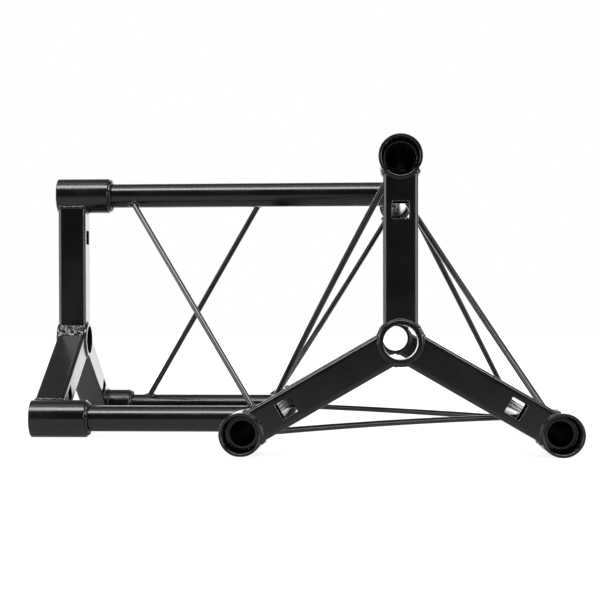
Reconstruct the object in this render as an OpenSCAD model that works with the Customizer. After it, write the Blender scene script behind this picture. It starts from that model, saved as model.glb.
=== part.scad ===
// Triangular truss junction: a straight leg with an end frame at each end, and a side leg
// at 90 degrees with an end frame of its own. The origin is the centre of the front end
// frame's mating face. The straight leg runs along +Y and the side leg runs towards -X.

/* [Truss] */
// Distance between chord centre lines, on each side of the triangle
chord_pitch = 230; // [215:5:250]
// Length of the straight leg, from mating face to mating face
long_len = 500; // [490:5:900]
// From the front mating face to the side leg's centre line
side_at = 312; // [240:1:320]
// From the straight leg's centre line to the side mating face
side_reach = 312; // [308:1:600]

/* [Chords] */
// Outer diameter of a chord tube
chord_d = 22; // [18:0.5:25]
// Wall of a chord tube
chord_wall = 1.5; // [1:0.1:3]

/* [Sockets] */
// Outer diameter of a socket
socket_d = 31.8; // [31:0.1:36]
// Bore that takes the neighbouring truss's spigot
socket_bore = 27; // [25.5:0.1:28]
// Length of a socket
socket_len = 48; // [44:1:52]
// Depth of the bore, from the mouth to the shoulder that holds the chord
socket_depth = 18; // [15:1:42]
// Edge break at the socket's mouth
mouth_break = 0.6; // [0.2:0.1:1]
// Edge break at the socket's back end
back_break = 1; // [0.4:0.1:1.5]

/* [End frames] */
// Outer size of the square arm tube
arm_w = 25; // [20:0.5:26]
// Wall of the square arm tube
arm_wall = 2; // [1.5:0.1:2.8]
// Outside corner radius of the square arm tube
arm_round = 3; // [2.2:0.1:4]
// How far the arms sit behind the mating face
arm_setback = 1.5; // [0.5:0.1:5]
// Outer diameter of the hub tube
hub_d = 32; // [31:0.1:38]
// Bore of the hub, for the centre bolt
hub_bore = 25; // [20:0.1:26]
// Outer edge break at both ends of the hub
hub_break = 0.6; // [0.2:0.1:1]
// Side of the square window in each arm
window = 12.5; // [8:0.5:14]
// From the hub's centre to a window's centre
window_at = 94.5; // [60:0.5:96]

/* [Lacing] */
// Diameter of a lacing rod
rod_d = 5; // [4:0.5:8]
// From a socket's back end to the nearest rod node
node_gap = 15; // [10:1:18]
// How far a rod's centre line lies outside the plane through two chord centre lines
rod_offset = 1.5; // [0:0.1:2.5]
// How far the straight leg's rods swing either side of that, to pass each other where they meet
rod_swing = 1.5; // [0:0.1:2]
// Between the ends of the two rods that meet in the middle of the straight leg
rod_apart = 6; // [0:0.5:12]
// From one rod node to the next along the side leg
side_pitch = 130; // [110:1:134]
// How far the side leg's rear rod sits towards the side end frame, and its front rod away from it
side_skew = 2; // [0:0.5:3]

/* [Hidden] */
$fn = 96;
// The three corners of the triangle: angle in the XZ plane of each leg's own end frame
CORNERS = [90, 210, 330];
FRAMES = ["front", "rear", "side"];
// Names of the corners on each end frame, in the order of CORNERS
PLACES = [["top", "left", "right"], ["top", "left", "right"], ["top", "rear", "front"]];
// Names of the faces on each leg: face k runs from corner k to corner k + 1
LONG_FACES = ["left", "bottom", "right"];
SIDE_FACES = ["rear", "bottom", "front"];

corner_r = chord_pitch / sqrt(3);
arm_depth = arm_w;
hub_len = arm_depth + 2 * arm_setback;
first_node = socket_len + node_gap;
mid_node = long_len / 2;
chord_bore = chord_d - 2 * chord_wall;
black = [0.07, 0.07, 0.075];

function next(k) = (k + 1) % 3;
function corner(k) = corner_r * [cos(CORNERS[k]), 0, sin(CORNERS[k])];
// Outward direction of face k, between corner k and corner k + 1
function face_out(k) = -[cos(CORNERS[next(next(k))]), 0, sin(CORNERS[next(next(k))])];
// Rod node on face f. n is [corner, distance from the mating face, distance out of the face's plane].
function node_on(f, n) = corner(n[0]) + [0, n[1], 0] + n[2] * face_out(f);

// Stands its children along +Y
module along_y() {
    rotate([-90, 0, 0]) children();
}

// Moves something built behind a mating face at y = 0 to one of the three ends
module at_end(f) {
    if (f == 0) children();
    if (f == 1) translate([0, long_len, 0]) mirror([0, 1, 0]) children();
    if (f == 2) side_leg() children();
}

// The side leg's own frame: its mating face at y = 0, with the leg running along +Y
module side_leg() {
    translate([-side_reach, side_at, 0]) rotate([0, 0, -90]) children();
}

module rounded_square(w, r) {
    square([w, w - 2 * r], center = true);
    square([w - 2 * r, w], center = true);
    for (x = [-1, 1], y = [-1, 1]) {
        translate([x, y] * (w / 2 - r)) circle(r);
    }
}

module hub() {
    r = hub_d / 2;
    b = hub_bore / 2;
    c = hub_break;
    color(black) along_y() rotate_extrude() polygon([
        [b, 0], [r - c, 0], [r, c], [r, hub_len - c], [r - c, hub_len], [b, hub_len]
    ]);
}

module socket() {
    r = socket_d / 2;
    b = socket_bore / 2;
    s = chord_d / 2;
    color(black) along_y() rotate_extrude() polygon([
        [b + mouth_break, 0], [r - mouth_break, 0], [r, mouth_break],
        [r, socket_len - back_break], [r - back_break, socket_len], [s, socket_len],
        [s, socket_depth], [b, socket_depth], [b, mouth_break]
    ]);
}

// Square tube from the hub to a socket, coped to both, with a window through both faces
module arm(k) {
    color(black) rotate([0, -CORNERS[k], 0]) difference() {
        translate([0, arm_setback + arm_depth / 2, 0]) rotate([0, 90, 0]) {
            linear_extrude(corner_r) difference() {
                rounded_square(arm_w, arm_round);
                rounded_square(arm_w - 2 * arm_wall, arm_round - arm_wall);
            }
        }
        along_y() cylinder(h = arm_w * 2, d = hub_d);
        translate([corner_r, 0, 0]) along_y() cylinder(h = arm_w * 2, d = socket_d);
        translate([window_at, arm_w, 0]) cube([window, arm_w * 2, window], center = true);
    }
}

// Full length of a chord's tube between two points along its axis
module chord_tube(from, to) {
    translate([0, from, 0]) along_y() difference() {
        cylinder(h = to - from, d = chord_d);
        translate([0, 0, -1]) cylinder(h = to - from + 2, d = chord_bore);
    }
}

module long_chord(k) {
    color(black) translate(corner(k)) chord_tube(socket_depth, long_len - socket_depth);
}

// The solid that a side part is cut back from: the straight leg's top or left chord
module long_chord_space(k) {
    translate(corner(k)) along_y() cylinder(h = long_len, d = chord_d);
}

// A side chord stops on the straight leg's chord that it meets
module side_chord(k) {
    meets = k == 0 ? 0 : 1;
    color(black) difference() {
        side_leg() translate(corner(k)) {
            chord_tube(socket_depth, side_reach + corner(meets)[0]);
        }
        long_chord_space(meets);
    }
}

// Straight rod between two points
module rod(a, b) {
    v = b - a;
    translate(a) rotate([0, acos(v[2] / norm(v)), atan2(v[1], v[0])]) {
        cylinder(h = norm(v), d = rod_d, $fn = 48);
    }
}

// Rod on face f between two nodes, coped to both of their chords
module lacing_rod(f, n, m) {
    difference() {
        rod(node_on(f, n), node_on(f, m));
        for (c = [n[0], m[0]]) {
            translate(corner(c)) along_y() cylinder(h = long_len + side_reach, d = chord_d);
        }
    }
}

// Each face of the straight leg has two rods: way is 1 for the front one and -1 for the rear one
module long_rod(k, way) {
    end_node = way > 0 ? first_node : long_len - first_node;
    color(black) lacing_rod(k,
        [k, end_node, rod_offset + way * rod_swing],
        [next(k), mid_node - way * rod_apart / 2, rod_offset - way * rod_swing]
    );
}

// Each face of the side leg has one rod, and the inner end also meets the straight leg's chord
module side_rod(k) {
    end_node = first_node + (k - 1) * side_skew;
    color(black) difference() {
        side_leg() lacing_rod(k,
            [next(k), end_node, rod_offset],
            [k, end_node + side_pitch, rod_offset]
        );
        long_chord_space(k == 0 ? 0 : 1);
    }
}

for (f = [0:2]) {
    at_end(f) hub();
    for (k = [0:2]) {
        at_end(f) arm(k);
        union() {
            at_end(f) translate(corner(k)) socket();
        }
    }
}
for (k = [0:2]) {
    long_chord(k);
    side_chord(k);
    long_rod(k, 1);
    long_rod(k, -1);
    side_rod(k);
}
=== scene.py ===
"""Looks of a triangular lighting truss junction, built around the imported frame.

Lengths in this script are in millimetres unless a name ends in _M, and every mesh is scaled to
metres as it is made. Each end frame has its own axes: u across it, v up and d behind its mating face.
"""

import math

import bmesh
import bpy
from mathutils import Matrix, Vector, noise


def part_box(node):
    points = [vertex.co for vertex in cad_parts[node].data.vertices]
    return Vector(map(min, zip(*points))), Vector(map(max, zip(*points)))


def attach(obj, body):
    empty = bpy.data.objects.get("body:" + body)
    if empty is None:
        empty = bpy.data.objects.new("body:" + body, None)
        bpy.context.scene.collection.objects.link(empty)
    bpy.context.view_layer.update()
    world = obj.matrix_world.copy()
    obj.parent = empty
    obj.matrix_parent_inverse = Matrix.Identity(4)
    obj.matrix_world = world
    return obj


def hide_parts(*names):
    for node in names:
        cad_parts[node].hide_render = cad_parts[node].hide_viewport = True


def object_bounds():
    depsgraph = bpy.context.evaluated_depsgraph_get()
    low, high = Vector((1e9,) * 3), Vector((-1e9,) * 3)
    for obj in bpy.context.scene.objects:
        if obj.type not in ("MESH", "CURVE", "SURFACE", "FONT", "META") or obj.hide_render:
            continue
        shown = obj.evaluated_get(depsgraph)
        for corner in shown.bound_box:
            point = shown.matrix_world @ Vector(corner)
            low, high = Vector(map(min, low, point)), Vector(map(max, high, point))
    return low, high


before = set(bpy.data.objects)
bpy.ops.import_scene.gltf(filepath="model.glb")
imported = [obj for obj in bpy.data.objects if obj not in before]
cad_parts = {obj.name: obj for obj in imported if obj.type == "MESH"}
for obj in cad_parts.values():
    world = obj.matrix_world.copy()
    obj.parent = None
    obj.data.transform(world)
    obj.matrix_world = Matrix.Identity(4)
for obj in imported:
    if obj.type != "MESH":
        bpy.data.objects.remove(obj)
CAD_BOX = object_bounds()

MM = 0.001
UP = Vector((0, 0, 1))


# ---------------------------------------------------------------- sizes, read from the frame

def span(node):
    """Lowest and highest corner of a CAD node, in millimetres."""
    low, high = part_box(node)
    return low / MM, high / MM


def middle(node):
    low, high = span(node)
    return (low + high) / 2


def extent(node):
    low, high = span(node)
    return high - low


CHORD_R = extent("long_chord_top").x / 2
SOCKET_R = extent("front_socket_top").x / 2
SOCKET_LEN = extent("front_socket_top").y
SOCKET_DEPTH = span("long_chord_top")[0].y
HUB_R = extent("front_hub").x / 2
HUB_LEN = extent("front_hub").y
ARM_W = extent("front_arm_top").x
ARM_SETBACK = span("front_arm_top")[0].y
CORNER_R = middle("front_socket_top").z
LONG_LEN = span("rear_hub")[1].y
SIDE_AT = middle("side_hub").y
SIDE_REACH = -span("side_hub")[0].x

# Sizes that a node's box doesn't show
CHORD_WALL = 1.5
SOCKET_BORE_R = 13.5
HUB_BORE_R = 12.5
ARM_WALL = 2.0
ARM_ROUND = 3.0
WINDOW = 12.5
WINDOW_AT = 94.5
ROD_R = 2.5
ROD_OFFSET = 1.5
ROD_SWING = 1.5
ROD_APART = 6.0
NODE_GAP = 15.0
SIDE_PITCH = 130.0
SIDE_SKEW = 2.0

CORNER_ANGLES = [math.radians(a) for a in (90, 210, 330)]


class End:
    """One of the three end frames, with its own axes."""

    def __init__(self, name, origin, across, depth, places):
        self.name = name
        self.origin = Vector(origin)
        self.across = Vector(across)
        self.depth = Vector(depth)
        self.places = places

    def at(self, u, v, d):
        """A point of this end frame in the row frame."""
        return self.origin + self.across * u + UP * v + self.depth * d

    def corner(self, k, d=0.0):
        """A point on the chord line of corner k."""
        angle = CORNER_ANGLES[k]
        return self.at(CORNER_R * math.cos(angle), CORNER_R * math.sin(angle), d)


ENDS = [
    End("front", (0, 0, 0), (1, 0, 0), (0, 1, 0), ("top", "left", "right")),
    End("rear", (0, LONG_LEN, 0), (1, 0, 0), (0, -1, 0), ("top", "left", "right")),
    End("side", (-SIDE_REACH, SIDE_AT, 0), (0, -1, 0), (1, 0, 0), ("top", "rear", "front")),
]
FRONT, REAR, SIDE = ENDS


# ---------------------------------------------------------------- mesh building

class Shell:
    """Collects rings of points and the faces between them, then makes one mesh piece."""

    def __init__(self):
        self.points = []
        self.faces = []

    def ring(self, points):
        """Adds points and returns their indices."""
        first = len(self.points)
        self.points.extend(points)
        return list(range(first, len(self.points)))

    def bridge(self, a, b, closed=True):
        """Quads between two rings of the same length."""
        count = len(a)
        for i in range(count if closed else count - 1):
            j = (i + 1) % count
            self.faces.append((a[i], a[j], b[j], b[i]))

    def fan(self, ring, centre):
        """Triangles from a ring to one point."""
        hub = self.ring([centre])[0]
        for i in range(len(ring)):
            self.faces.append((ring[i], ring[(i + 1) % len(ring)], hub))

    def build(self, name, material, slot, sharp_deg=35, stands_for=(), inside=None):
        """Makes the piece, in metres, riding on the frame's one body.

        inside is (material, first face, last face + 1) for a stretch of faces that isn't painted.
        """
        mesh = bpy.data.meshes.new(name)
        mesh.from_pydata([tuple(p * MM) for p in self.points], [], self.faces)
        work = bmesh.new()
        work.from_mesh(mesh)
        bmesh.ops.recalc_face_normals(work, faces=work.faces)
        work.to_mesh(mesh)
        work.free()
        mesh.shade_smooth()
        mesh.set_sharp_from_angle(angle=math.radians(sharp_deg))
        mesh.materials.append(material)
        if inside:
            mesh.materials.append(inside[0])
            for polygon in mesh.polygons[inside[1]:inside[2]]:
                polygon.material_index = 1
        piece = bpy.data.objects.new(name, mesh)
        bpy.context.scene.collection.objects.link(piece)
        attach(piece, "root")
        if stands_for:
            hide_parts(*stands_for)
        return piece


def softened(outline, steps=4, support=0.3):
    """A closed outline of (x, y, radius) corners as points, each corner rounded to its radius.

    A point on both sides of each round keeps the flat next to it flat when it is shaded.
    """
    points = []
    count = len(outline)
    for i in range(count):
        x, y, radius = outline[i]
        here = Vector((x, y))
        before = Vector(outline[i - 1][:2]) - here
        after = Vector(outline[(i + 1) % count][:2]) - here
        if radius <= 0:
            points.append(here)
            continue
        to_before = before.normalized()
        to_after = after.normalized()
        half = to_before.angle(to_after) / 2
        cut = radius / math.tan(half)
        centre = here + (to_before + to_after).normalized() * (radius / math.sin(half))
        start = here + to_before * cut
        end = here + to_after * cut
        points.append(start + to_before * min(support, before.length * 0.2))
        a0 = start - centre
        turn = a0.angle_signed(end - centre)
        for s in range(steps + 1):
            t = -turn * s / steps
            points.append(centre + Matrix.Rotation(t, 2) @ a0)
        points.append(end + to_after * min(support, after.length * 0.2))
    return points


def lathe(end, u, v, outline, segments=144, seam=None):
    """Turns an outline of (radius, depth) points about an axis along an end frame's depth.

    seam is (angle, bore radius): a low ridge down the bore, as the weld of a rolled tube leaves.
    """
    shell = Shell()
    rings = []
    for radius, depth in outline:
        points = []
        for s in range(segments):
            t = math.tau * s / segments
            r = radius
            if seam and abs(radius - seam[1]) < 0.2 and depth < SOCKET_DEPTH:
                off = (t - seam[0] + math.pi) % math.tau - math.pi
                r -= 0.45 * math.exp(-((off * radius / 0.9) ** 2))
            points.append(end.at(u + r * math.cos(t), v + r * math.sin(t), depth))
        rings.append(shell.ring(points))
    for i in range(len(rings)):
        shell.bridge(rings[i], rings[(i + 1) % len(rings)])
    return shell


# ---------------------------------------------------------------- materials

class Nodes:
    """A short way to wire up a material's nodes."""

    def __init__(self, material):
        material.use_nodes = True
        self.tree = material.node_tree
        self.tree.nodes.clear()

    def add(self, kind, **settings):
        node = self.tree.nodes.new(kind)
        for key, value in settings.items():
            setattr(node, key, value)
        return node

    def link(self, a, output, b, socket):
        self.tree.links.new(a.outputs[output], b.inputs[socket])


def noise_at(nodes, coords, scale, detail, roughness=0.5):
    node = nodes.add("ShaderNodeTexNoise")
    node.inputs["Scale"].default_value = scale
    node.inputs["Detail"].default_value = detail
    node.inputs["Roughness"].default_value = roughness
    nodes.link(coords, "Object", node, "Vector")
    return node


def remap(nodes, source, output, low, high, to_low, to_high):
    node = nodes.add("ShaderNodeMapRange", clamp=True)
    for socket, value in (("From Min", low), ("From Max", high), ("To Min", to_low), ("To Max", to_high)):
        node.inputs[socket].default_value = value
    nodes.link(source, output, node, "Value")
    return node


def enamel(name, dark, light, gloss, peel, lumps=0.0):
    """Black stove enamel over steel: orange peel, soft tube waviness, cloudy gloss and fine dust."""
    material = bpy.data.materials.new(name)
    nodes = Nodes(material)
    coords = nodes.add("ShaderNodeTexCoord")
    cloud = noise_at(nodes, coords, 38, 3)
    speck = noise_at(nodes, coords, 2600, 1)
    grain = noise_at(nodes, coords, 620, 3, 0.55)
    wave = noise_at(nodes, coords, 55, 1)

    tone = remap(nodes, cloud, "Fac", 0.3, 0.7, 0, 1)
    colour = nodes.add("ShaderNodeMix", data_type="RGBA")
    colour.inputs[6].default_value = (*dark, 1)
    colour.inputs[7].default_value = (*light, 1)
    nodes.link(tone, "Result", colour, 0)
    dust = remap(nodes, speck, "Fac", 0.74, 0.82, 0, 0.35)
    dusty = nodes.add("ShaderNodeMix", data_type="RGBA")
    dusty.inputs[7].default_value = (0.05, 0.05, 0.052, 1)
    nodes.link(dust, "Result", dusty, 0)
    nodes.tree.links.new(colour.outputs[2], dusty.inputs[6])

    rough = remap(nodes, cloud, "Fac", 0.3, 0.7, gloss - 0.03, gloss + 0.04)

    fine = nodes.add("ShaderNodeBump")
    fine.inputs["Strength"].default_value = peel
    fine.inputs["Distance"].default_value = 0.00006
    nodes.link(grain, "Fac", fine, "Height")
    broad = nodes.add("ShaderNodeBump")
    broad.inputs["Strength"].default_value = 0.25
    broad.inputs["Distance"].default_value = 0.0002
    nodes.link(wave, "Fac", broad, "Height")
    nodes.link(fine, "Normal", broad, "Normal")
    last = broad
    if lumps:
        knots = noise_at(nodes, coords, 420, 2, 0.6)
        lumpy = nodes.add("ShaderNodeBump")
        lumpy.inputs["Strength"].default_value = lumps
        lumpy.inputs["Distance"].default_value = 0.0006
        nodes.link(knots, "Fac", lumpy, "Height")
        nodes.link(broad, "Normal", lumpy, "Normal")
        last = lumpy

    shader = nodes.add("ShaderNodeBsdfPrincipled")
    shader.inputs["IOR"].default_value = 1.47
    nodes.tree.links.new(dusty.outputs[2], shader.inputs["Base Color"])
    nodes.link(rough, "Result", shader, "Roughness")
    nodes.link(last, "Normal", shader, "Normal")
    output = nodes.add("ShaderNodeOutputMaterial")
    nodes.link(shader, "BSDF", output, "Surface")
    return material


DARK = (0.0022, 0.0021, 0.0026)
LIGHT = (0.004, 0.0039, 0.0044)
FRAME_PAINT = enamel("frame_paint", DARK, LIGHT, 0.2, 0.16)
SOCKET_PAINT = enamel("socket_paint", DARK, LIGHT, 0.19, 0.16)
CHORD_PAINT = enamel("chord_paint", DARK, (0.004, 0.0037, 0.005), 0.18, 0.07)
ROD_PAINT = enamel("rod_paint", DARK, LIGHT, 0.14, 0.04)
WELD_PAINT = enamel("weld_paint", DARK, LIGHT, 0.13, 0.2, lumps=0.5)
BARE_BORE = enamel("bare_bore", (0.008, 0.0075, 0.008), (0.014, 0.0135, 0.0135), 0.55, 0.5)


# ---------------------------------------------------------------- tubes and frames

SEAMS = {"front_left": 0.65, "front_right": -0.9, "front_top": 2.4}


def make_sockets(end):
    """Turned sockets with a rounded lip, a shoulder inside and the chord's bore beyond it."""
    for k, place in enumerate(end.places):
        angle = CORNER_ANGLES[k]
        outline = softened([
            (SOCKET_BORE_R, 0, 1.0), (SOCKET_R, 0, 0.7), (SOCKET_R, SOCKET_LEN, 1.3),
            (CHORD_R, SOCKET_LEN, 0), (CHORD_R, SOCKET_DEPTH, 0), (SOCKET_BORE_R, SOCKET_DEPTH, 0.4),
        ])
        name = f"{end.name}_socket_{place}"
        seam = (SEAMS.get(f"{end.name}_{place}", angle + 2.2), SOCKET_BORE_R)
        u, v = CORNER_R * math.cos(angle), CORNER_R * math.sin(angle)
        shell = lathe(end, u, v, outline, seam=seam)
        shell.build(f"{name}_turned", SOCKET_PAINT, "socket_paint", stands_for=[name])


def make_hub(end):
    outline = softened([
        (HUB_BORE_R, 0, 0.25), (HUB_R, 0, 0.9), (HUB_R, HUB_LEN, 0.9), (HUB_BORE_R, HUB_LEN, 0.25),
    ])
    name = f"{end.name}_hub"
    lathe(end, 0, 0, outline).build(f"{name}_turned", FRAME_PAINT, "frame_paint", stands_for=[name])


def window_side(s, half, corner, straight=0.85):
    """Point on the side of a rounded square, for s from -1 to 1 along that side."""
    if abs(s) <= straight:
        return s / straight * (half - corner), half
    t = (abs(s) - straight) / (1 - straight) * math.pi / 4
    return math.copysign(half - corner + corner * math.sin(t), s), half - corner + corner * math.cos(t)


def window_point(p, q, half, corner):
    """The point on a rounded square that matches the point (p, q) on a square of half-size 1."""
    if abs(q) >= abs(p) - 1e-9:
        x, y = window_side(p, half, corner)
        return x, math.copysign(y, q)
    y, x = window_side(q, half, corner)
    return math.copysign(x, p), y


WINDOW_STEPS = [-1, -0.925, -0.85, -0.425, 0, 0.425, 0.85, 0.925, 1]
WINDOW_FIELD = 8.5
ROUND_STEPS = 7


def tube_section(width, radius):
    """Points (a, b, face) round a square tube, with matching columns for both of its skins.

    face is "front" or "back" on the flats that carry the windows.
    """
    half = width / 2
    flat = half - radius
    columns = [-flat] + [s * WINDOW_FIELD for s in WINDOW_STEPS] + [flat]
    sides = [-flat, -flat * 0.85, 0, flat * 0.85, flat]
    points = []

    def arc(ca, cb, start):
        for s in range(1, ROUND_STEPS):
            t = start + math.pi / 2 * s / ROUND_STEPS
            points.append((ca + radius * math.cos(t), cb + radius * math.sin(t), None))

    points.extend((a, -half, "front") for a in columns)
    arc(flat, -flat, -math.pi / 2)
    points.extend((half, b, None) for b in sides)
    arc(flat, flat, 0)
    points.extend((-a, half, "back") for a in columns)
    arc(-flat, flat, math.pi / 2)
    points.extend((-half, -b, None) for b in sides)
    arc(-flat, -flat, math.pi)
    return points


def make_arm(end, k):
    """Square tube from the hub to a socket: coped to both, rounded corners, punched windows."""
    angle = CORNER_ANGLES[k]
    along = (math.cos(angle), math.sin(angle))
    mid = ARM_SETBACK + ARM_W / 2

    def point(x, a, b):
        return end.at(x * along[0] - a * along[1], x * along[1] + a * along[0], mid + b)

    outer = tube_section(ARM_W, ARM_ROUND)
    inner = tube_section(ARM_W - 2 * ARM_WALL, ARM_ROUND - ARM_WALL)
    shell = Shell()
    fixed = [HUB_R + 1.5, 30, 50, 68, WINDOW_AT - 9.6]
    fixed += [WINDOW_AT + s * WINDOW_FIELD for s in WINDOW_STEPS]
    fixed += [WINDOW_AT + 9.6, CORNER_R - SOCKET_R - 1.5]
    first_window = fixed.index(WINDOW_AT - WINDOW_FIELD) + 2
    last_window = first_window + len(WINDOW_STEPS) - 1

    def stations(a):
        start = math.sqrt(HUB_R ** 2 - a * a)
        stop = CORNER_R - math.sqrt(SOCKET_R ** 2 - a * a)
        return [start, start + 0.5] + fixed + [stop - 0.5, stop]

    skins = []
    for section in (outer, inner):
        rings = []
        for s in range(len(fixed) + 4):
            rings.append(shell.ring([point(stations(a)[s], a, b) for a, b, _ in section]))
        skins.append(rings)
    count = len(outer)
    window_cells = {}
    for face in ("front", "back"):
        members = [i for i in range(count) if outer[i][2] == face]
        window_cells[face] = members[1:-1]
    open_columns = {i for cells in window_cells.values() for i in cells[:-1]}
    for rings in skins:
        for s in range(len(rings) - 1):
            for i in range(count):
                if first_window <= s < last_window and i in open_columns:
                    continue
                j = (i + 1) % count
                shell.faces.append((rings[s][i], rings[s][j], rings[s + 1][j], rings[s + 1][i]))
    shell.bridge(skins[0][0], skins[1][0])
    shell.bridge(skins[0][-1], skins[1][-1])

    lip = 0.4
    half = WINDOW / 2
    for face, cells in window_cells.items():
        sign = -1 if face == "front" else 1
        loop = []
        loop += [(first_window, i) for i in cells]
        loop += [(s, cells[-1]) for s in range(first_window + 1, last_window + 1)]
        loop += [(last_window, i) for i in reversed(cells[:-1])]
        loop += [(s, cells[0]) for s in range(last_window - 1, first_window, -1)]
        surface = ARM_W / 2
        levels = [(half + lip + 0.25, surface)]
        for s in range(4):
            t = math.pi / 2 * s / 3
            levels.append((half + lip * (1 - math.sin(t)), surface - lip * (1 - math.cos(t))))
        levels += [(half, surface - lip - 0.3), (half, surface - ARM_WALL + 0.25)]
        levels += [(half + 0.25, surface - ARM_WALL)]
        previous = [skins[0][s][i] for s, i in loop]
        for size, b in levels:
            points = []
            for s, i in loop:
                p = outer[i][0] / WINDOW_FIELD
                q = (fixed[s - 2] - WINDOW_AT) / WINDOW_FIELD
                a, x = window_point(p, q, size, 0.9 + size - half)
                points.append(point(WINDOW_AT + x, a, sign * b))
            ring = shell.ring(points)
            shell.bridge(previous, ring)
            previous = ring
        shell.bridge(previous, [skins[1][s][i] for s, i in loop])
    name = f"{end.name}_arm_{end.places[k]}"
    shell.build(f"{name}_tube", FRAME_PAINT, "frame_paint", stands_for=[name])


def chord_tube(name, start, direction, length, cope=0.0):
    """Chord tube. With a cope radius, its far end is cut to sit on a chord that crosses it level."""
    shell = Shell()
    along = Vector(direction)
    side = along.cross(UP)
    count = 96
    skins = []
    for radius in (CHORD_R, CHORD_R - CHORD_WALL):
        rings = []
        steps = max(4, int(length / 20))
        for s in range(steps + 1):
            points = []
            for i in range(count):
                t = math.tau * i / count
                reach = length
                if cope:
                    reach -= math.sqrt(max(0, cope ** 2 - (radius * math.sin(t)) ** 2))
                station = reach * s / steps
                round_tube = side * (radius * math.cos(t)) + UP * (radius * math.sin(t))
                points.append(start + along * station + round_tube)
            rings.append(shell.ring(points))
        first = len(shell.faces)
        for s in range(steps):
            shell.bridge(rings[s], rings[s + 1])
        skins.append(rings)
    bore = (BARE_BORE, first, len(shell.faces))
    shell.bridge(skins[0][0], skins[1][0])
    shell.bridge(skins[0][-1], skins[1][-1])
    shell.build(f"{name}_tube", CHORD_PAINT, "chord_paint", stands_for=[name], inside=bore)


def make_chords():
    for k, place in enumerate(FRONT.places):
        start = FRONT.corner(k, SOCKET_DEPTH)
        chord_tube(f"long_chord_{place}", start, (0, 1, 0), LONG_LEN - 2 * SOCKET_DEPTH)
    for k, place in enumerate(SIDE.places):
        start = SIDE.corner(k, SOCKET_DEPTH)
        meets = FRONT.corner(0 if k == 0 else 1)
        chord_tube(f"side_chord_{place}", start, (1, 0, 0), meets.x - start.x, cope=CHORD_R)


# ---------------------------------------------------------------- lacing

def swept(shell, path, radius, segments=20):
    """Adds a round bar along a path of points, closed by a flat fan at each end."""
    rings = []
    turned = None
    for i, here in enumerate(path):
        ahead = path[min(i + 1, len(path) - 1)] - path[max(i - 1, 0)]
        tangent = ahead.normalized()
        if turned is None:
            turned = tangent.orthogonal().normalized()
        turned = (turned - tangent * turned.dot(tangent)).normalized()
        other = tangent.cross(turned)
        points = []
        for s in range(segments):
            t = math.tau * s / segments
            points.append(here + (turned * math.cos(t) + other * math.sin(t)) * radius)
        rings.append(shell.ring(points))
    for i in range(len(rings) - 1):
        shell.bridge(rings[i], rings[i + 1])
    shell.fan(rings[0], path[0])
    shell.fan(rings[-1], path[-1])


def face_out(k):
    """Outward direction, in (u, v), of the face between corner k and corner k + 1."""
    angle = CORNER_ANGLES[(k + 2) % 3]
    return -math.cos(angle), -math.sin(angle)


class Lace:
    """A lacing rod's line on face k, from node a to node b, each (corner, depth, distance outwards).

    bow is how far the middle of the rod stands out of its face's plane.
    """

    def __init__(self, name, end, k, a, b, bow=0.0):
        self.name = name
        out_u, out_v = face_out(k)
        self.out = end.across * out_u + UP * out_v
        self.axes = (end.corner(a[0], a[1]), end.corner(b[0], b[1]))
        self.along = end.depth.copy()
        self.bow = bow
        line = (self.axes[0] + self.out * a[2], self.axes[1] + self.out * b[2])
        self.direction = (line[1] - line[0]).normalized()
        self.feet = [self.foot(line[0], self.axes[0], self.direction),
                     self.foot(line[1], self.axes[1], -self.direction)]

    def foot(self, point, axis, way):
        """Where a line from a point beside a chord's axis leaves the chord's surface."""
        flat = way - self.along * way.dot(self.along)
        off = point - axis
        off = off - self.along * off.dot(self.along)
        b_term = off.dot(flat)
        a_term = flat.dot(flat)
        c_term = off.dot(off) - CHORD_R ** 2
        return point + way * ((-b_term + math.sqrt(b_term ** 2 - a_term * c_term)) / a_term)


LONG_BOWS = {"left": (1.4, -0.8), "bottom": (-1.4, -0.8), "right": (-0.5, 0.5)}


def laces():
    """The same nodes as the frame's: the straight leg's rods pass each other at the middle node."""
    first = SOCKET_LEN + NODE_GAP
    made = []
    for k, face in enumerate(("left", "bottom", "right")):
        for way, place, bow in ((1, "front", LONG_BOWS[face][0]), (-1, "rear", LONG_BOWS[face][1])):
            start = (k, first if way > 0 else LONG_LEN - first, ROD_OFFSET + way * ROD_SWING)
            stop = ((k + 1) % 3, LONG_LEN / 2 - way * ROD_APART / 2, ROD_OFFSET - way * ROD_SWING)
            made.append(Lace(f"long_rod_{face}_{place}", FRONT, k, start, stop, bow))
    for k, face in enumerate(("rear", "bottom", "front")):
        start = ((k + 1) % 3, first + (k - 1) * SIDE_SKEW, ROD_OFFSET)
        stop = (k, start[1] + SIDE_PITCH, ROD_OFFSET)
        made.append(Lace(f"side_rod_{face}", SIDE, k, start, stop))
    return made


LACES = laces()


def make_rods():
    """Drawn rods, a little bowed by the heat of welding."""
    steps = 60
    bury = 1.2
    for lace in LACES:
        start, stop = lace.feet
        length = (stop - start).length
        path = []
        for i in range(steps + 1):
            x = -bury + (length + 2 * bury) * i / steps
            bend = lace.bow * math.sin(math.pi * min(max(x / length, 0), 1))
            path.append(start + lace.direction * x + lace.out * bend)
        shell = Shell()
        swept(shell, path, ROD_R)
        shell.build(lace.name + "_drawn", ROD_PAINT, "rod_paint", sharp_deg=60, stands_for=[lace.name])


# ---------------------------------------------------------------- welds

RING_STEPS = 110
ARM_WELD_R = {"hub": 1.3, "socket": 1.9}
ARM_WELD_FACE_R = 0.95
ARM_WELD_LIFT = 0.5
ARM_WELD_BARE = 1.25
FACE_INSET = 0.1
CHORD_WELD_R = 2.1
SHOULDER_WELD_R = 1.25
SIDE_CHORD_WELD_R = 1.5
SIDE_CHORD_WELD_BACK = 0.5
# Along the chord, across it and out of it
ROD_WELD_SIZE = (6.4, 3.7, 2.9)
ROD_WELD_SINK = 0.9
FILLET_NAMES = ("bottom", "b", "a")


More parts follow.
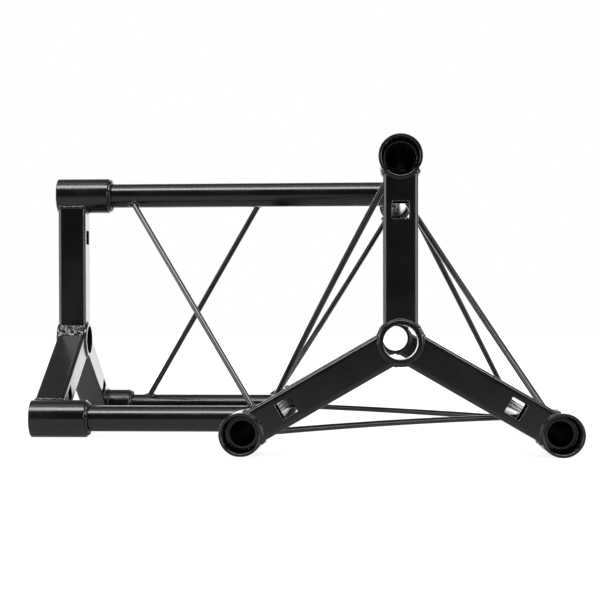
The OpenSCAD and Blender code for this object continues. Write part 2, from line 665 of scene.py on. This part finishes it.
def lumpiness(p, grain, seed):
    """Smooth noise from about -1 to 1 at a point in millimetres."""
    return noise.noise(Vector((p.x / grain + seed, p.y / grain - seed, p.z / grain + 2 * seed)))


def bead(shell, path, radius, seed, closed=True, ripple=2.4, segments=14):
    """A run of weld metal along a path: overlapping ripples, uneven in width and height.

    radius is a length or a function of the index of the point on the path.
    """
    rings = []
    count = len(path)
    run = 0.0
    for i, here in enumerate(path):
        if closed:
            tangent = (path[(i + 1) % count] - path[i - 1]).normalized()
        else:
            tangent = (path[min(i + 1, count - 1)] - path[max(i - 1, 0)]).normalized()
        run += (here - path[i - 1]).length if i else 0.0
        side = tangent.cross(UP)
        if side.length < 0.2:
            side = tangent.cross(Vector((0, 1, 0)))
        side.normalize()
        other = tangent.cross(side)
        base = radius(i) if callable(radius) else radius
        wave = 0.09 * math.sin(math.tau * run / ripple) + 0.24 * lumpiness(here, 4.5, seed)
        points = []
        for s in range(segments):
            t = math.tau * s / segments
            out = side * math.cos(t) + other * math.sin(t)
            grain = lumpiness(here + out * base, 1.9, seed + 7)
            points.append(here + out * base * (1 + wave + 0.16 * grain))
        rings.append(shell.ring(points))
    for i in range(count - (0 if closed else 1)):
        shell.bridge(rings[i], rings[(i + 1) % count])
    if not closed:
        shell.fan(rings[0], path[0])
        shell.fan(rings[-1], path[-1])


def weld(name, shell):
    shell.build(f"weld_{name}", WELD_PAINT, "frame_paint", sharp_deg=80)


def cope_path(end, k, radius, from_hub, lift, sink):
    """Points round an arm where it meets the hub, or the socket.

    lift moves them out of the corner on the arm's two sides, and sink moves them into the tube there.
    """
    angle = CORNER_ANGLES[k]
    along = (math.cos(angle), math.sin(angle))
    mid = ARM_SETBACK + ARM_W / 2
    half = ARM_W / 2
    flat = half - ARM_ROUND
    path = []
    sides = []
    per_side = 26
    per_corner = 6

    def add(across, side):
        a, b = across
        grow = lift
        if side < 0.5:
            grow = lift * 0.25
        reach = math.sqrt(radius ** 2 - min(a * a, (half - 0.01) ** 2))
        x = reach + grow if from_hub else CORNER_R - reach - grow
        path.append(end.at(x * along[0] - a * along[1], x * along[1] + a * along[0], mid + b))
        sides.append(side)

    # Each quarter is one side of the tube and the round corner after it, turned by 90 degrees
    for quarter in range(4):
        turn = Matrix.Rotation(math.pi / 2 * quarter, 2)
        side = quarter % 2
        inset = sink if side else FACE_INSET
        for i in range(per_side):
            add(turn @ Vector((-flat + 2 * flat * i / per_side, -half + inset)), side)
        for i in range(per_corner):
            done = i / per_corner
            t = math.pi / 2 * (done - 1)
            corner = Vector((flat + ARM_ROUND * math.cos(t), -flat + ARM_ROUND * math.sin(t)))
            add(turn @ corner, 1 - done if side else done)
    return path, sides


def make_arm_welds(end, k):
    place = end.places[k]
    for at, radius in (("hub", HUB_R), ("socket", SOCKET_R)):
        side_r = ARM_WELD_R[at]
        path, sides = cope_path(end, k, radius, at == "hub", ARM_WELD_LIFT, side_r - ARM_WELD_BARE)
        sizes = [ARM_WELD_FACE_R + (side_r - ARM_WELD_FACE_R) * s for s in sides]
        shell = Shell()
        bead(shell, path, sizes.__getitem__, seed=3.1 * k + len(at) + len(end.name))
        weld(f"{end.name}_{at}_{place}", shell)


def make_hub_fillets(end):
    """Between each two arms the hub's wall is covered by a broad, lumpy fillet of weld."""
    meet = ARM_W / 2 / math.sin(math.radians(60))
    drop = 1.9 if end is REAR else 3.2
    half_width = drop * math.tan(math.radians(60)) + 0.5
    for k in range(3):
        angle = CORNER_ANGLES[k] + math.pi
        out = (math.cos(angle), math.sin(angle))
        across = (-out[1], out[0])
        columns = 22
        rows = 48
        front = ARM_SETBACK + 0.9
        back = ARM_SETBACK + ARM_W - 0.9
        shell = Shell()
        rings = []
        for r in range(rows + 1):
            d = front + (back - front) * r / rows
            swell = math.sin(math.pi * min(1, max(0, min(r, rows - r) / 3.0)) / 2)
            top = []
            for c in range(columns + 1):
                s = -1 + 2 * c / columns
                x = meet + drop - 0.4 + 0.4 * math.sqrt(max(0, 1 - s * s)) * swell
                a = s * half_width
                p = end.at(x * out[0] + a * across[0], x * out[1] + a * across[1], d)
                bump = 1.0 * lumpiness(p, 2.9, k + 5) + 0.45 * lumpiness(p, 1.4, k + 9)
                x += bump * (1 - s ** 4) * swell
                top.append(end.at(x * out[0] + a * across[0], x * out[1] + a * across[1], d))
            low = HUB_R - 1.2
            base = [end.at(low * out[0] - s * half_width * 0.5 * across[0],
                           low * out[1] - s * half_width * 0.5 * across[1], d) for s in (-1, 0, 1)]
            rings.append(shell.ring(top + base))
        for r in range(rows):
            shell.bridge(rings[r], rings[r + 1])
        shell.faces.append(tuple(rings[0]))
        shell.faces.append(tuple(reversed(rings[-1])))
        weld(f"{end.name}_hub_fillet_{FILLET_NAMES[k]}", shell)


def ring_path(end, k, ring_r, depth):
    """A circle round the chord line of corner k."""
    middle_point = end.corner(k, depth)
    path = []
    for i in range(RING_STEPS):
        t = math.tau * i / RING_STEPS
        path.append(middle_point + end.across * (ring_r * math.cos(t)) + UP * (ring_r * math.sin(t)))
    return path


def make_socket_welds(end, k):
    """The run of weld round the chord where it leaves the socket."""
    path = ring_path(end, k, CHORD_R + 1.3, SOCKET_LEN + 0.2)
    shell = Shell()
    bead(shell, path, CHORD_WELD_R, seed=11 * k + len(end.name), ripple=3.1)
    weld(f"{end.name}_chord_{end.places[k]}", shell)


def make_inner_welds(end, k):
    """The run of weld round the end of the chord, at the shoulder inside the socket."""
    path = ring_path(end, k, SOCKET_BORE_R - 1.3, SOCKET_DEPTH)
    shell = Shell()
    bead(shell, path, SHOULDER_WELD_R, seed=7 * k + len(end.name) + 3, ripple=2.6)
    weld(f"{end.name}_shoulder_{end.places[k]}", shell)


def make_side_chord_welds():
    for k, place in enumerate(SIDE.places):
        meets = FRONT.corner(0 if k == 0 else 1)
        axis = SIDE.corner(k)
        ring_r = CHORD_R + 0.4
        path = []
        for i in range(RING_STEPS):
            t = math.tau * i / RING_STEPS
            x = meets.x - CHORD_R * abs(math.cos(t)) - SIDE_CHORD_WELD_BACK
            y = axis.y + ring_r * math.cos(t)
            path.append(Vector((x, y, axis.z + ring_r * math.sin(t))))
        shell = Shell()
        bead(shell, path, SIDE_CHORD_WELD_R, seed=4 * k + 1, ripple=2.7)
        weld(f"side_chord_{place}", shell)


def lump(shell, centre, long_way, across, out, sizes, seed, rows=18, columns=28):
    """A blob of weld metal: an uneven dome stretched along long_way."""
    rings = []
    for r in range(1, rows):
        theta = math.pi * r / rows
        points = []
        for c in range(columns):
            phi = math.tau * c / columns
            n = Vector((math.cos(theta), math.sin(theta) * math.cos(phi), math.sin(theta) * math.sin(phi)))
            p = long_way * (n.x * sizes[0]) + across * (n.y * sizes[1]) + out * (n.z * sizes[2])
            coarse = 0.2 * lumpiness(centre + p, 2.6, seed)
            fine = 0.1 * lumpiness(centre + p, 1.2, seed + 3)
            points.append(centre + p * (1 + coarse + fine))
        rings.append(shell.ring(points))
    for r in range(len(rings) - 1):
        shell.bridge(rings[r], rings[r + 1])
    shell.fan(rings[0], centre + long_way * sizes[0])
    shell.fan(rings[-1], centre - long_way * sizes[0])


def make_rod_welds():
    for index, lace in enumerate(LACES):
        shell = Shell()
        for foot, axis in zip(lace.feet, lace.axes):
            along = lace.along
            out = foot - axis
            out = (out - along * out.dot(along)).normalized()
            across = along.cross(out)
            centre = foot - out * ROD_WELD_SINK
            lump(shell, centre, along, across, out, ROD_WELD_SIZE, seed=index * 1.7 + 2)
        weld(lace.name, shell)


# ---------------------------------------------------------------- stage, light and camera

def make_floor():
    """A white table top. Its own glow keeps it white to the camera and grows with distance, so that it
    runs into the backdrop without a line. In reflections it is dark near the camera and bright far behind.
    """
    half = 40
    low = CAD_BOX[0].z
    mesh = bpy.data.meshes.new("floor")
    corners = [(x * half, y * half, low) for x, y in ((-1, -1), (1, -1), (1, 1), (-1, 1))]
    mesh.from_pydata(corners, [], [(0, 1, 2, 3)])

    material = bpy.data.materials.new("floor_white")
    nodes = Nodes(material)
    coords = nodes.add("ShaderNodeTexCoord")
    mottle = noise_at(nodes, coords, 6, 3)
    tone = remap(nodes, mottle, "Fac", 0.3, 0.7, 0.19, 0.21)
    away = nodes.add("ShaderNodeVectorMath", operation="LENGTH")
    nodes.link(coords, "Object", away, 0)
    glow = remap(nodes, away, "Value", 0.9, 2.5, 0.86, 1.1)
    parts = nodes.add("ShaderNodeSeparateXYZ")
    nodes.link(coords, "Object", parts, "Vector")
    near = remap(nodes, parts, "Y", -0.7, -0.2, 0.0, 0.34)
    far = remap(nodes, parts, "Y", 0.45, 1.0, 0.0, 1.66)
    lit = nodes.add("ShaderNodeMath", operation="ADD")
    nodes.link(near, "Result", lit, 0)
    nodes.link(far, "Result", lit, 1)
    seen = nodes.add("ShaderNodeLightPath")
    strength = nodes.add("ShaderNodeMix", data_type="FLOAT")
    nodes.link(seen, "Is Camera Ray", strength, 0)
    nodes.tree.links.new(lit.outputs["Value"], strength.inputs[2])
    nodes.tree.links.new(glow.outputs["Result"], strength.inputs[3])
    shader = nodes.add("ShaderNodeBsdfPrincipled")
    shader.inputs["Roughness"].default_value = 0.7
    shader.inputs["Emission Color"].default_value = (1, 1, 1, 1)
    nodes.tree.links.new(strength.outputs[0], shader.inputs["Emission Strength"])
    nodes.link(tone, "Result", shader, "Base Color")
    output = nodes.add("ShaderNodeOutputMaterial")
    nodes.link(shader, "BSDF", output, "Surface")
    mesh.materials.append(material)
    floor = bpy.data.objects.new("floor", mesh)
    bpy.context.scene.collection.objects.link(floor)


def make_world():
    """A white cove behind and a dim studio elsewhere. The camera sees plain white all round."""
    world = bpy.data.worlds.new("studio")
    bpy.context.scene.world = world
    nodes = Nodes(world)
    coords = nodes.add("ShaderNodeTexCoord")
    parts = nodes.add("ShaderNodeSeparateXYZ")
    nodes.link(coords, "Generated", parts, "Vector")
    cove = remap(nodes, parts, "Y", 0.84, 0.93, 0.02, 2.4)
    behind = remap(nodes, parts, "Y", 0.1, 0.8, 0.0, 0.4)
    above = remap(nodes, parts, "Z", 0.3, 0.7, 0.0, 1.0)
    level = nodes.add("ShaderNodeMath", operation="MULTIPLY_ADD")
    nodes.link(behind, "Result", level, 0)
    nodes.link(above, "Result", level, 1)
    nodes.link(cove, "Result", level, 2)
    seen = nodes.add("ShaderNodeLightPath")
    backdrop = nodes.add("ShaderNodeBackground")
    backdrop.inputs["Strength"].default_value = 1.0
    backdrop.inputs["Color"].default_value = (1, 1, 1, 1)
    room = nodes.add("ShaderNodeBackground")
    room.inputs["Color"].default_value = (1, 0.985, 0.955, 1)
    nodes.link(level, "Value", room, "Strength")
    choose = nodes.add("ShaderNodeMixShader")
    nodes.link(seen, "Is Camera Ray", choose, 0)
    nodes.link(room, "Background", choose, 1)
    nodes.link(backdrop, "Background", choose, 2)
    output = nodes.add("ShaderNodeOutputWorld")
    nodes.link(choose, "Shader", output, "Surface")


def softbox(name, azimuth, elevation, distance, width, height, radiance):
    """A panel aimed at the object. Azimuth is in degrees from -Y towards +X."""
    centre = (CAD_BOX[0] + CAD_BOX[1]) / 2
    turn, lift = math.radians(azimuth), math.radians(elevation)
    way = Vector((math.sin(turn) * math.cos(lift), -math.cos(turn) * math.cos(lift), math.sin(lift)))
    light = bpy.data.lights.new(name, "AREA")
    light.shape = "RECTANGLE"
    light.size = width
    light.size_y = height
    light.energy = radiance * math.pi * width * height
    lamp = bpy.data.objects.new(name, light)
    lamp.location = centre + way * distance
    lamp.rotation_euler = way.to_track_quat("Z", "Y").to_euler()
    bpy.context.scene.collection.objects.link(lamp)
    lamp.visible_camera = False


def make_lights():
    softbox("overhead", 0, 63, 3.0, 4.4, 1.0, 13.5)
    softbox("overhead_tail", 0, 88, 3.0, 4.4, 1.5, 1.2)
    softbox("left", -64, 10, 2.8, 3.3, 1.6, 4.2)
    softbox("right", 64, 10, 2.8, 3.3, 1.6, 4.2)


def make_camera():
    data = bpy.data.cameras.new("camera")
    data.sensor_width = 36
    data.lens = 91.65
    data.shift_x = 0.025
    data.shift_y = 0.10
    camera = bpy.data.objects.new("camera", data)
    camera.location = (-0.01317, -1.09073, 0.00967)
    camera.rotation_euler = [math.radians(a) for a in (88.837, 0.097, 3.641)]
    bpy.context.scene.collection.objects.link(camera)
    bpy.context.scene.camera = camera


for end in ENDS:
    make_hub(end)
    make_sockets(end)
    for k in range(3):
        make_arm(end, k)
        make_arm_welds(end, k)
        make_socket_welds(end, k)
        make_inner_welds(end, k)
    make_hub_fillets(end)
make_chords()
make_side_chord_welds()
make_rods()
make_rod_welds()
make_floor()
make_world()
make_lights()
make_camera()
bpy.context.scene.view_settings.view_transform = "Standard"
